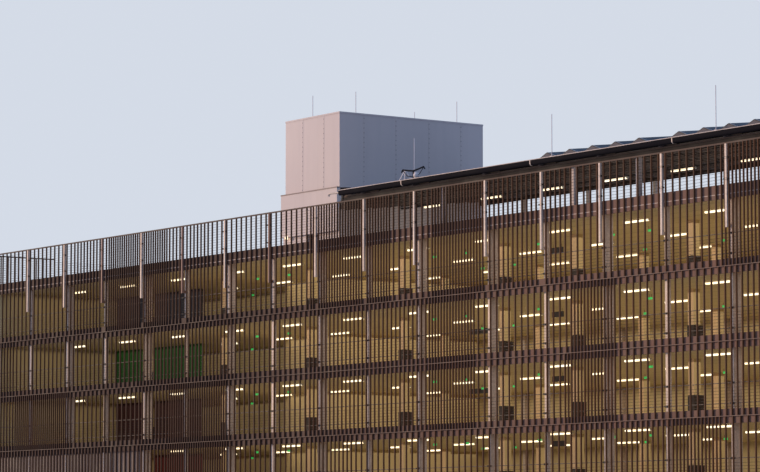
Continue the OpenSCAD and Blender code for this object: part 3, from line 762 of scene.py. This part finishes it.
# %% Materials of a fitting
def glowing(name, colour, dim_colour, strength, scale):
    """A lit material with soft patches that are a little dimmer."""
    material, tree, shader = new_material(name)
    patches = spread(tree, clouds(tree, scale, 2.0), 0.35, 0.65)
    tone = mixed(tree, patches, dim_colour, colour)
    feed(tree, shader.inputs["Base Color"], tone)
    feed(tree, shader.inputs["Emission Color"], tone)
    shader.inputs["Emission Strength"].default_value = strength
    feed(tree, shader.inputs["Roughness"], spread(tree, patches, 0.0, 1.0, 0.35, 0.5))
    material.cycles.emission_sampling = "NONE"
    return material


opal = glowing("lit diffuser", srgb(255, 240, 208), srgb(255, 228, 180), 1.9, 7.0)
housing = coated("fitting housing", srgb(212, 204, 188), 0.4, tone=0.06, streaks=0.0, dust=0.0)


def fitting(length, width, height):
    """A fitting hung with its top at the origin."""
    cap, upper = 0.014, height * 0.25
    piece = start_box("fitting", (-length / 2, -width / 2, -height), (length / 2, width / 2, 0))
    for centre, way in (((cap - length / 2, 0, 0), (1, 0, 0)),
                        ((length / 2 - cap, 0, 0), (1, 0, 0)), ((0, 0, -upper), (0, 0, 1))):
        pick(piece, "FACE", lambda p, n: True)
        bpy.ops.mesh.bisect(plane_co=centre, plane_no=way)
        leave()
    pick(piece, "EDGE", lambda p, way: abs(way.x) > 0.9 and p.z < -height * 0.9
         and abs(p.y) > width * 0.4)
    bpy.ops.mesh.bevel(offset=height * 0.3, segments=2)
    leave()
    piece.data.materials.append(opal)
    piece.data.materials.append(housing)
    for face in piece.data.polygons:
        in_cap = abs(face.center.x) > length / 2 - cap
        face.material_index = 1 if in_cap or face.center.z > -upper else 0
    return piece


# %% Fittings under every deck
boxes = solid_boxes("light_fittings")
size = boxes[0][1] - boxes[0][0] + Vector((0.06, 0, 0.008))
finished(copied("light_bars", fitting(*size),
                [((low.x + high.x) / 2, (low.y + high.y) / 2, high.z) for low, high in boxes]),
         "light", "light_fittings")

# %% [markdown]
# ## Lights under the sloping roof
# They hang on a slim tray that runs along under the rafters. The tray is a channel: its lower
# face is inset and pushed up, which leaves two lips.

# %% Tray and its lights
low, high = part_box("light_tray")
bar_top = low[2] + boxes[0][1].z - boxes[0][0].z
tray = start_box("light_tray_channel", (low[0], low[1], bar_top), high)
sunk(tray, lambda p, n: n.z < -0.9, 0.006, (0, 0, 0.012))
finished(tray, "dark_rail", "light_tray", material=dark_paint)
first_x, light_gap = -5.425, 2.33
spots = range(math.floor((high[0] - first_x) / light_gap) + 1)
finished(copied("roof_light_bars", fitting(*size),
                [(first_x + light_gap * i, (low[1] + high[1]) / 2, bar_top) for i in spots]),
         "light", "light_tray")

# %% [markdown]
# ## Casings with louvres
# A dark casing stands round the foot of each front pier, on its front and both sides, with
# louvres in the right side. It starts as a block without back, top and bottom, and the Solidify
# modifier gives the sheet its thickness. The right side is inset to a frame and pushed in. One
# blade is modelled, turned, and repeated up the recess with the Array modifier.

# %% One casing, and its copies
boxes = solid_boxes("louvred_boxes")
width, depth, height = boxes[0][1] - boxes[0][0]
sheet, rim, blades, recess = 0.014, 0.024, 12, 0.009
case = start_box("case", (0, 0, 0), (width, depth, height))
pick(case, "FACE", lambda p, n: n.y > 0.9 or abs(n.z) > 0.9)
bpy.ops.mesh.delete(type="ONLY_FACE")
leave()
modified(case, "SOLIDIFY", thickness=sheet, offset=-1)
sunk(case, lambda p, n: n.x > 0.9 and p.x > width - 0.001, rim, (-recess, 0, 0))
modified(case, "BEVEL", width=0.003, segments=1, limit_method="ANGLE")
step = (height - 2 * rim) / blades
blade = start_box("blade", (width - 0.009, rim, rim), (width - 0.004, depth - rim, rim + 0.020))
turned(blade, math.radians(24), "Y", (width - 0.006, 0, rim + 0.010))
modified(blade, "ARRAY", count=blades, use_relative_offset=False, use_constant_offset=True,
         constant_offset_displace=(0, 0, step))
print("casing", [round(v, 3) for v in (width, depth, height)], "blade step", round(step, 3))
finished(copied("louvred_cases", joined("casing", blade, case), [low for low, high in boxes]),
         "dark_box", "louvred_boxes",
         material=coated("dark box paint", srgb(58, 47, 42), 0.65, tone=0.15, streaks=0.25,
                         dirt=(34, 27, 24), dust=0.3, dust_colour=(96, 84, 74)))

# %% [markdown]
# ## Exit signs
# Small lit green plates hang on two rods from the ceilings, in two rows, and larger dark boards
# hang over the aisle. All are plain plates with a rim round their faces.

# %% Signs
sign_green = glowing("lit green plate", srgb(46, 168, 78), srgb(30, 130, 58), 0.9, 20.0)


def hung_plate(width, top, low, paint, rod_in):
    """A plate with a rim round its faces, hung on two rods from the origin."""
    plate = start_box("plate", (-width / 2, -0.010, low), (width / 2, 0.010, top))
    pick(plate, "FACE", lambda p, n: abs(n.y) > 0.9)
    bpy.ops.mesh.inset(thickness=0.006)
    bpy.ops.transform.resize(value=(1, 0.8, 1))
    leave()
    plate.data.materials.append(paint)
    rods = [start_rod("hanger", (x, 0, top), (x, 0, 0), 0.004, 6)
            for x in (rod_in - width / 2, width / 2 - rod_in)]
    for rod in rods:
        rod.data.materials.append(dark_paint)
    return joined("hung plate", *rods, plate)


def under_ceilings(storeys, row, y):
    """Places in a row on some storeys' ceilings, without those in the tower."""
    return [(x, y, ceiling_z[k]) for k in storeys for x in row
            if y < tower_low[1] - 0.1 or not tower_low[0] - 0.3 < x < tower_high[0] + 0.3]


front_row = under_ceilings(range(5), (-7.7, -6.3, -0.4, 0.8, 3.4, 5.9, 7.1, 11.6), -1.85)
back_row = under_ceilings(range(5), (-12.1, -2.2, -1.0, 3.7, 6.3, 13.2), 0.85)
sign = hung_plate(0.11, -0.06, -0.108, sign_green, 0.02)
finished(copied("exit_signs", sign, front_row + back_row), "light")

# %% Dark hung plates over the aisle
aisle_row = under_ceilings(range(5), (2.9, 9.6), -0.95)
tower_row = under_ceilings((2, 3), (-2.71, -2.29), 0.99)
board = hung_plate(0.40, -0.07, -0.19, dark_paint, 0.05)
finished(copied("hung_boards", board, aisle_row + tower_row), "dark_rail")

# %% [markdown]
# ## Clips on the posts, and brackets of the guard rails
# Dark clips tie each galvanised post to the slats beside it, twice in the top row. A clip is a
# short channel: a block whose front is inset and pushed in. Where a guard rail passes a column,
# a wider bracket of the same make holds it: its ends are drawn back to the column's face.

# %% Clips
def channel(name, low, high, rim, push):
    """A channel that is open towards the street."""
    piece = start_box(name, low, high)
    sunk(piece, lambda p, n: n.y < -0.9, rim, (0, push, 0))
    return piece


post_front, clip_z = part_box("front_posts")[0][1], (8.02, 7.62)
clip = channel("clip", (-0.062, -0.006, -0.016), (0.062, 0.030, 0.016), 0.006, 0.010)
finished(copied("post_clips", clip, [(x, post_front, z) for x in posts for z in clip_z]),
         "dark_rail", material=dark_paint)

# %% Guard rail brackets
rails = solid_boxes("guard_rails")
rail_z = middles(rails, 2)
columns = middles(solid_boxes("front_columns"), 0, 3)
column_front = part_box("front_columns")[0][1]
bracket = channel("rail bracket", (-0.058, rails[0][0].y - 0.004 - column_front, -0.017),
                  (0.058, 0.0, 0.017), 0.005, 0.004)
pick(bracket, "FACE", lambda p, n: abs(n.x) > 0.9 and abs(p.x) > 0.057)
pull((0, 0.008, 0))
bpy.ops.transform.resize(value=(1.16, 1, 1))
leave()
print("columns", len(columns), "rail heights", rail_z)
finished(copied("rail_brackets", bracket, [(x, column_front, z) for x in columns for z in rail_z]),
         "dark_rail", material=dark_paint)

# %% [markdown]
# ## Guard wires
# Thin wires run level behind the slats, close enough that nobody climbs through: up to the upper
# guard rail on each storey, and up to the top rail on the roof deck. One is a thin bar with its
# ends inset. It is copied upwards, and the same is done on each side.

# %% Wires
wire_gap, wire_radius = 0.060, 0.003
band_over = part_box("edge_bands")[1][2] - floor_z[5]
wire_z = [floor_z[k] + band_over + wire_gap * (i + 0.6) for k in range(1, 6)
          for i in range(12 if k == 5 else 7)]


def wires(a, b):
    """Level wires over each other between two points."""
    wire = start_rod("wire", a, b, wire_radius, 6)
    way = (Vector(b) - Vector(a)).normalized()
    sunk(wire, lambda p, n: abs(n.dot(way)) > 0.9, 0.001)
    return copied("wires", wire, [(0, 0, z) for z in wire_z])


side_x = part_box("right_slats")[0][0] - 0.002
wire_y = -0.037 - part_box("front_slats_top")[0][1]
a, b = (-side_x, -wire_y, 0), (side_x, -wire_y, 0)
c, d = (-side_x, wire_y, 0), (side_x, wire_y, 0)
finished(joined("guard_wires", wires(a, b), wires(c, d), wires(a, c), wires(b, d)), "dark_rail",
         material=dark_paint)

# %% [markdown]
# ## Roof seams and purlins
# The sheet has upright seams that run up the slope, and purlins under it that run across. A seam
# is a thin block whose upper face is widened to a bead. It is tilted to the slope of the roof,
# which is measured on the sheet itself.

# %% Slope of the roof
sheet_low, sheet_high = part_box("roof_sheet")
corners = [v.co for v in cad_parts["roof_sheet"].data.vertices]
eave = max((c for c in corners if c.y < sheet_low[1] + 0.02), key=lambda c: c.z)
crest = max(corners, key=lambda c: c.z)
slope = math.atan2(crest.z - eave.z, crest.y - eave.y)
gutter_low, gutter_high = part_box("roof_gutter")
roof_left = gutter_low[0]
print("slope", round(math.degrees(slope), 2), "eave", [round(v, 3) for v in eave])


def roof_z(y):
    """Height of the sheet's upper face."""
    return eave.z + (y - eave.y) * math.tan(slope)


slant = (tower_low[1] - eave.y) / (roof_left - tower_high[0])


# %% Seams
def seam_up(x):
    """A seam up the slope at x, from the eave or the sheet's slanting left edge to the crest."""
    start_y = eave.y + 0.05 + slant * max(0, roof_left - x)
    run = (crest.y - 0.02 - start_y) / math.cos(slope)
    foot = roof_z(start_y)
    seam = start_box("seam", (x - 0.004, start_y, foot - 0.002),
                     (x + 0.004, start_y + run, foot + 0.020))
    scaled(seam, lambda p, n: n.z > 0.9, (2.2, 1, 1))
    return turned(seam, slope, "X", (x, start_y, foot))


first_x, seam_gap = tower_high[0] + 0.25, 0.30
seams = math.ceil((sheet_high[0] - 0.05 - first_x) / seam_gap)
seam_x = [first_x + seam_gap * i for i in range(seams)]
short = [seam_up(x) for x in seam_x if x < roof_left]
full = [x for x in seam_x if x >= roof_left]
long = copied("long seams", seam_up(full[0]), [(x - full[0], 0, 0) for x in full])
finished(joined("roof_seams", *short, long), "roof_metal", material=roof_metal)

# %% Purlins
purlins = []
purlin_gap, half_w = 0.42, 0.02
soffit_drop = 0.050 / math.cos(slope)
y = eave.y + 0.45
while y < crest.y - 0.1:
    left = roof_left - (y - eave.y) / slant + 0.08
    if y > tower_low[1]:
        left = tower_high[0] + 0.02
    top = roof_z(y - half_w) - soffit_drop
    purlin = start_box("purlin", (left, y - half_w, top - 0.05),
                       (sheet_high[0] - 0.02, y + half_w, top))
    sunk(purlin, lambda p, n: n.y < -0.9, 0.006, (0, 0.03, 0))
    purlins.append(purlin)
    y += purlin_gap
finished(joined("roof_purlins", *purlins), "dark_rail", material=soffit_brown)

# %% [markdown]
# ## Eave edge and gutter
# A folded strip closes the sheet's front edge and drips into the gutter: a flat block whose
# front face is pushed out and down. A pale bead stiffens the gutter's outer edge, an overflow
# pipe leaves its left end under a dark stop plate, and straps lie round its half round bottom. A
# strap is a tube's wall, of which the upper half is cut away.

# %% Eave strip and bead
strip = start_box("eave_strip", (roof_left, eave.y - 0.002, eave.z - 0.002),
                  (sheet_high[0], eave.y + 0.10, eave.z + 0.004))
drawn(strip, lambda p, n: n.y < -0.9, (0, -0.012, -0.006))
finished(turned(strip, slope, "X", (0, eave.y, eave.z)), "roof_metal", material=roof_metal)

bead_y, bead_z = gutter_low[1] + 0.005, gutter_high[2] + 0.004
bead = start_rod("gutter_bead", (roof_left, bead_y, bead_z), (gutter_high[0], bead_y, bead_z),
                 0.009)
sunk(bead, lambda p, n: abs(n.x) > 0.9, 0.003, (0, 0, 0.001))
finished(bead, "galvanised", material=galvanised)

# %% Overflow pipe at the gutter's left end
pipe_y, pipe_z = -4.60, gutter_high[2] - 0.040
pipe = start_rod("overflow_pipe", (roof_left - 0.40, pipe_y, pipe_z + 0.010),
                 (roof_left + 0.03, pipe_y, pipe_z), 0.022)
pick(pipe, "FACE", lambda p, n: n.x < -0.9)
pull((-0.035, 0, -0.012))
bpy.ops.transform.rotate(value=math.radians(50), orient_axis="Y",
                         center_override=(roof_left - 0.43, pipe_y, pipe_z))
pull((-0.006, 0, -0.035))
leave()
finished(pipe, "galvanised", material=galvanised)

# %% Stop plate over the gutter's left end
stop = start_box("stop_plate", (roof_left - 0.06, eave.y - 0.006, eave.z - 0.030),
                 (roof_left + 0.34, eave.y + 0.006, eave.z + 0.070))
scaled(stop, lambda p, n: n.x > 0.9, (1, 1, 0.6), center_override=(0, 0, eave.z - 0.030))
finished(stop, "roof_metal", material=gutter_paint)

# %% Straps
strap_x, half_w = (2.23, 6.71, 11.12, 15.6), 0.012
radius = (gutter_high[1] - gutter_low[1]) / 2
axis_y, axis_z = gutter_low[1] + radius, gutter_low[2] + radius
strap = start_rod("strap", (-half_w, axis_y, axis_z), (half_w, axis_y, axis_z), radius + 0.003, 24)
pick(strap, "FACE", lambda p, n: abs(n.x) > 0.9)
bpy.ops.mesh.delete(type="ONLY_FACE")
bpy.ops.mesh.select_all(action="SELECT")
bpy.ops.mesh.bisect(plane_co=(0, axis_y, axis_z), plane_no=(0, 0, 1), clear_outer=True)
leave()
drawn(strap, lambda p, way: abs(way.x) > 0.9 and p.z > axis_z - 0.001 and p.y < axis_y,
      (0, 0, gutter_high[2] - axis_z), kind="EDGE")
modified(strap, "SOLIDIFY", thickness=0.0025, offset=0)
finished(copied("gutter_straps", strap, [(x, 0, 0) for x in strap_x]), "galvanised",
         material=galvanised)

# %% [markdown]
# ## Tower joints
# Cover strips close the upright joints between the cladding panels, with a row of screws in each.
# The strip is a flat bar with its front face inset, and the screws are low cones. A folded
# capping covers the walls' top, and a trim of the screws' tone runs along the ledge. The trim's
# darker tone is partly painted shade, for the thin shadow line under its lip.

# %% Joint strips
ledge_low, ledge_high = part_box("tower_ledge")
ledge_top, screw_gap = ledge_high[2], 0.12
screws_up = int((tower_high[2] - ledge_top - 0.1) / screw_gap) + 1
screw_z = [ledge_top + 0.06 + screw_gap * i for i in range(screws_up)]
screw_paint = coated("dull screw heads", srgb(138, 120, 114), 0.6, tone=0.1, streaks=0.0, dust=0.0)


def cover_strip(x, y, outward):
    """A strip with screws on a wall whose outward direction is given."""
    across = Vector((abs(outward.y), abs(outward.x), 0))
    low = Vector((x, y, ledge_top + 0.002)) - across * 0.016
    high = Vector((x, y, tower_high[2] - 0.004)) + across * 0.016 + outward * 0.004
    bar = start_box("bar", [min(a, b) for a, b in zip(low, high)],
                    [max(a, b) for a, b in zip(low, high)])
    sunk(bar, lambda p, n: n.dot(outward) > 0.9, 0.004)
    bar.data.materials.append(cladding)
    screw = start("screw", bpy.ops.mesh.primitive_cone_add, vertices=6, radius1=0.013,
                  radius2=0.008, depth=0.005, rotation=outward.to_track_quat("Z", "Y").to_euler())
    screw.data.materials.append(screw_paint)
    screws = copied("screws", screw, [Vector((x, y, z)) + outward * 0.0065 for z in screw_z])
    return joined("bar", screws, bar)


front, side = Vector((0, -1, 0)), Vector((1, 0, 0))
front_shares, side_y = (0.32, 0.71), (0.665, 1.63, 2.64, 3.63)
bars = []
for share in front_shares:
    x = tower_low[0] + share * (tower_high[0] - tower_low[0])
    bars += [cover_strip(x, tower_low[1], front), cover_strip(x, tower_high[1], -front)]
for y in side_y:
    bars += [cover_strip(tower_high[0], y, side), cover_strip(tower_low[0], y, -side)]
finished(joined("tower_joints", *bars), "tower_cladding")

# %% Capping of the tower
lip, low, high = 0.008, tower_low, tower_high
cap = start_box("tower_capping", (low[0] - lip, low[1] - lip, high[2]),
                (high[0] + lip, high[1] + lip, high[2] + 0.004))
sunk(cap, lambda p, n: n.z < -0.9, 0.003)
drawn(cap, lambda p, n: n.z < -0.9 and (
    min(p.x - low[0] + lip, high[0] + lip - p.x) < 0.01
    or min(p.y - low[1] + lip, high[1] + lip - p.y) < 0.01), (0, 0, -0.035))
finished(cap, "tower_cladding", material=cladding)

# %% Trim along the ledge
# The trim's darker tone is partly painted shade, for the shadow line under its lip.
out_x, out_y, trim_z = ledge_low[0] - 0.008, ledge_low[1] - 0.008, ledge_top - 0.022
trim_top = ledge_top + 0.004
trims = [start_box("trim", (out_x, out_y, trim_z), (ledge_high[0], tower_low[1], trim_top)),
         start_box("trim", (out_x, tower_low[1], trim_z), (tower_low[0], ledge_high[1], trim_top))]
for trim in trims:
    sunk(trim, lambda p, n: n.z > 0.9, 0.008, (0, 0, 0.003))
finished(joined("ledge_trim", *trims), "tower_cladding", material=screw_paint)

# %% [markdown]
# ## Lamp on the tower and fitting at the rod
# A small round lamp is lit by the tower's door. On the roof a stand of thin bars, a small globe
# and a dark bracket with two bent arms are set by the first lightning rod. The stand is a four
# sided cone, of which the Wireframe modifier leaves the edges as bars. An arm is a rod whose end
# face is extruded on from point to point.

# %% Lamp
lamp_x, lamp_z = -9.01, 8.42
lamp = start("tower_lamp", bpy.ops.mesh.primitive_cylinder_add, vertices=20, radius=0.045,
             depth=0.03, location=(lamp_x, ledge_low[1] - 0.015, lamp_z),
             rotation=(math.radians(90), 0, 0))
sunk(lamp, lambda p, n: n.y < -0.9, 0.008, (0, -0.010, 0))
finished(lamp, "light", material=opal)

# %% Stand and bracket on the roof
rod_x, rod_y = 2.19, eave.y + 0.28
base, mast_y = roof_z(rod_y), rod_y - 0.03
stand = start("stand", bpy.ops.mesh.primitive_cone_add, vertices=4, radius1=0.15, radius2=0.015,
              depth=0.24, rotation=(0, 0, math.radians(45)),
              location=(rod_x - 0.47, rod_y + 0.10, roof_z(rod_y + 0.10) + 0.115))
modified(stand, "WIREFRAME", thickness=0.026)
globe = start("globe", bpy.ops.mesh.primitive_uv_sphere_add, segments=12, ring_count=8,
              radius=0.070, location=(rod_x + 0.12, mast_y, base + 0.085))
drawn(globe, lambda p, n: p.z < base + 0.030, (0, 0, -0.03))
for piece in (stand, globe):
    piece.data.materials.append(rod_metal)


def arm(points, radius):
    """A bent round bar through points that are given across and up from the mast's foot."""
    points = [Vector((rod_x + across, mast_y, base + up)) for across, up in points]
    bar = start_rod("arm", points[0], points[1], radius, 6)
    way = (points[1] - points[0]).normalized()
    drawn(bar, lambda p, n: n.dot(way) > 0.9, *(b - a for a, b in zip(points[1:], points[2:])))
    bar.data.materials.append(gutter_paint)
    return bar


arms = [arm([(0, -0.004), (0, 0.20)], 0.016)]
for side in (-1, 1):
    arms.append(arm([(0, 0.19), (side * 0.20, 0.215), (side * 0.38, 0.245), (side * 0.42, 0.20)],
                    0.018))
    arms.append(arm([(0, 0.06), (side * 0.22, 0.10), (side * 0.36, 0.22)], 0.008))
finished(joined("rod_stand", *arms, globe, stand), "bare_metal")

# %% [markdown]
# ## Frames of the solar panels
# Thin aluminium bars lie on the joints between the modules, up each side of a tent.

# %% Module bars
gables = solid_boxes("solar_gables")
tents = middles(gables, 0, 3)
panel_low, panel_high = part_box("solar_panels")
half = (gables[0][1].x - gables[0][0].x) / 2
rise, foot = 0.140, 0.020
lean = math.atan2(rise - foot, half)
first_y, bar_gap = panel_low[1] + 0.03, 0.83
pair = []
for side in (-1, 1):
    end_x = side * half / math.cos(lean)
    bar = start_box("bar", (min(0, end_x), -0.007, -0.001), (max(0, end_x), 0.007, 0.004))
    scaled(bar, lambda p, n: n.z > 0.9, (1, 0.7, 1))
    pair.append(turned(bar, side * lean, "Y", (0, 0, 0)))
bar = turned(joined("bars", *pair), slope, "X", (0, 0, 0))
rows = int((panel_high[1] - 0.02 - first_y) / bar_gap) + 1
bar_y = [first_y + bar_gap * i for i in range(rows)]
ridge = rise / math.cos(slope)
print("tents", tents, "lean of a panel", round(math.degrees(lean), 1))
finished(copied("module_bars", bar, [(x, y, roof_z(y) + ridge) for x in tents for y in bar_y]),
         "bare_metal", material=bare_metal)

# %% [markdown]
# ## The floor
# A plain pale floor catches the shadow. It isn't attached to the building, so it isn't part of it.

# %% Floor
select_only()
bpy.ops.mesh.primitive_plane_add(size=600, location=(0, 0, -0.002))
ground = bpy.context.active_object
ground.name = "studio_floor"
ground.data.materials.append(coated("pale floor", srgb(214, 214, 216), 0.9, tone=0.02,
                                    streaks=0.0, dust=0.0, grain_depth=0.0))
